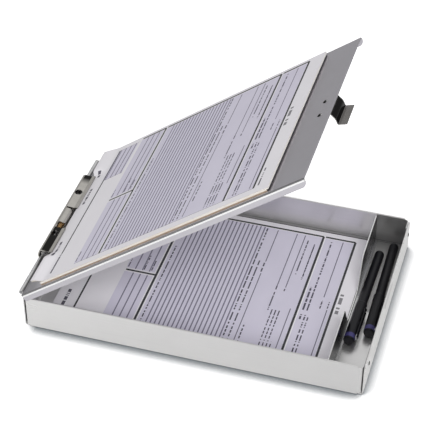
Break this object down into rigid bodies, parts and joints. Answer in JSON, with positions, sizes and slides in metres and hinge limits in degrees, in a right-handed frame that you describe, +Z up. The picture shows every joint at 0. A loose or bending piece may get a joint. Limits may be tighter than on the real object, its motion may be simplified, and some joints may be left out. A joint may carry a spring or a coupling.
{
  "type": "storage clipboard",
  "caption": "Aluminium storage clipboard: a shallow hinged box with a spring clip and a pad of forms on its lid, a pen compartment, and a spring latch.",
  "frame": {"origin": "centre of the tray's underside", "axes": "+X along the length from the hinge to the free end, +Y across the width, +Z up out of the tray"},
  "size_m": [0.3353, 0.224, 0.2384],
  "materials": {
    "tray_aluminium": "satin",
    "lid_aluminium": "satin",
    "divider_aluminium": "satin",
    "hinge_aluminium": "satin",
    "rivet_aluminium": "polished",
    "pin_steel": "bright",
    "rivet_steel": "polished",
    "plated_steel": "zinc plated",
    "spring_steel": "yellow plated",
    "chrome": "mirror",
    "latch_steel": "dark mirror",
    "form_paper": "matte",
    "chipboard": "matte",
    "pen_plastic": "gloss",
    "pen_band": "gloss",
    "pen_clip": "gloss"
  },
  "bodies": {
    "tray": {"tray_pan": "tray_aluminium", "tray_corner_rivets": "rivet_aluminium", "divider": "divider_aluminium", "hinge_leaf_tray": "hinge_aluminium", "hinge_pin": "pin_steel", "hinge_tray_rivets": "rivet_aluminium", "forms_stack": "form_paper", "pen_1_barrel": "pen_plastic", "pen_1_cap": "pen_plastic", "pen_1_band": "pen_band", "pen_1_clip": "pen_clip", "pen_2_barrel": "pen_plastic", "pen_2_cap": "pen_plastic", "pen_2_band": "pen_band", "pen_2_clip": "pen_clip"},
    "lid": {"lid_panel": "lid_aluminium", "hinge_leaf_lid": "hinge_aluminium", "hinge_lid_rivets": "rivet_aluminium", "pad_backing": "chipboard", "forms_pad": "form_paper", "clip_base": "plated_steel", "clip_rivets": "rivet_steel", "clip_rod": "pin_steel", "clip_spring": "spring_steel", "latch_foot": "latch_steel", "latch_rivets": "rivet_steel"},
    "jaw": {"clip_jaw": "chrome"},
    "latch": {"latch_arm": "latch_steel"}
  },
  "joints": [
    {"name": "lid_hinge", "type": "hinge", "parent": "tray", "child": "lid", "pos_m": [-0.16725, 0, 0.0386], "axis": [0, -1, 0], "range_deg": [-36.8, 143]},
    {"name": "clip_open", "type": "hinge", "parent": "lid", "child": "jaw", "pos_m": [-0.16182, 0.0016, 0.04903], "axis": [0, -1, 0], "range_deg": [0, 24], "deforming": ["clip_spring"]},
    {"name": "latch_flex", "type": "hinge", "parent": "lid", "child": "latch", "pos_m": [0.10127, 0, 0.23648], "axis": [0, -1, 0], "range_deg": [-3.5, 12]}
  ]
}
